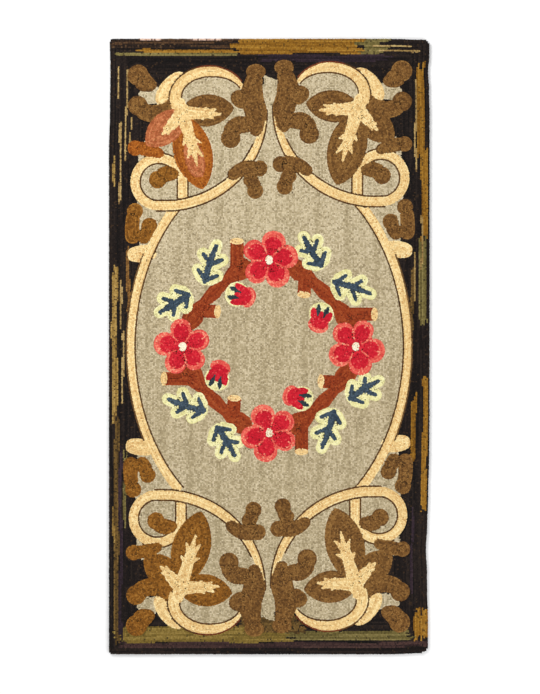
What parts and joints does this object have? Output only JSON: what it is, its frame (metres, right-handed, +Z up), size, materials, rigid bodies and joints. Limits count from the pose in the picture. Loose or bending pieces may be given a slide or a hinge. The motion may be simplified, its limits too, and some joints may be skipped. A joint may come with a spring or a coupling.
{
  "type": "hooked rug",
  "caption": "Flat rectangular hooked wool rug with a floral wreath inside scrolled corners and a dark mottled border, laid on a floor.",
  "frame": {"origin": "centre of the rug's flat underside, on the floor", "axes": "+Y along the rug's length towards the end that the picture shows on top, +X across its width, +Z up through the pile"},
  "size_m": [0.914, 1.755, 0.009],
  "materials": {
    "wool_pile": "matt hooked wool loops on burlap"
  },
  "bodies": {
    "root": {"rug": "wool_pile"}
  },
  "joints": []
}
